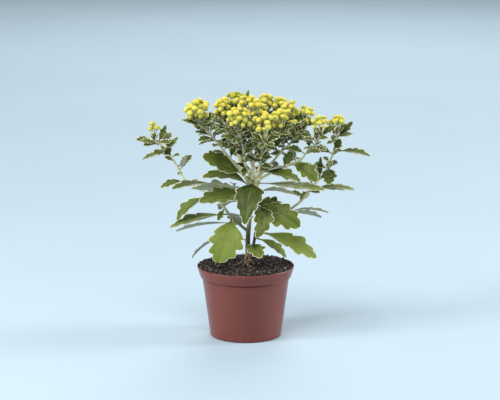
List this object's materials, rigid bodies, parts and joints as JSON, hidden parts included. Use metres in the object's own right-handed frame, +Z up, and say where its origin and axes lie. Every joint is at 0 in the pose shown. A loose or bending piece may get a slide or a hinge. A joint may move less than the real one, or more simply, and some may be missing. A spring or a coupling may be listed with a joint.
{
  "type": "potted gold and silver chrysanthemum",
  "caption": "Bushy flowering house plant with silver-edged lobed leaves and domed bunches of yellow button heads, growing in a round tapered plastic pot filled with soil.",
  "frame": {"origin": "centre of the pot's foot, on the surface that it stands on", "axes": "+Z up, -Y towards the viewer of the picture, +X to the viewer's right"},
  "size_m": [0.2899, 0.1201, 0.3011],
  "materials": {
    "pot_plastic": "satin",
    "potting_soil": "matte",
    "woody_stem": "matte",
    "leafy_shoots": "matte",
    "flower_heads": "matte",
    "young_flower_heads": "matte"
  },
  "bodies": {
    "root": {"pot": "pot_plastic", "soil": "potting_soil", "plant_foot": "woody_stem", "leader_shoot": "leafy_shoots", "left_shoot": "leafy_shoots", "left_side_shoot": "leafy_shoots", "far_left_shoot": "leafy_shoots", "left_inner_shoot": "leafy_shoots", "front_left_shoot": "leafy_shoots", "front_right_shoot": "leafy_shoots", "back_shoot": "leafy_shoots", "right_inner_shoot": "leafy_shoots", "right_shoot": "leafy_shoots", "right_outer_shoot": "leafy_shoots", "far_right_shoot": "leafy_shoots", "back_left_shoot": "leafy_shoots", "back_right_shoot": "leafy_shoots", "centre_flowers": "flower_heads", "top_flowers": "young_flower_heads", "left_flowers": "flower_heads", "far_left_flowers": "flower_heads", "left_inner_flowers": "flower_heads", "front_left_flowers": "flower_heads", "front_right_flowers": "flower_heads", "front_low_flowers": "flower_heads", "front_side_flowers": "flower_heads", "centre_front_flowers": "flower_heads", "back_flowers": "flower_heads", "right_inner_flowers": "flower_heads", "right_flowers": "flower_heads", "right_mid_flowers": "flower_heads", "right_low_flowers": "flower_heads", "right_outer_flowers": "flower_heads", "far_right_flowers": "flower_heads", "back_left_flowers": "flower_heads", "back_right_flowers": "flower_heads"}
  },
  "joints": []
}
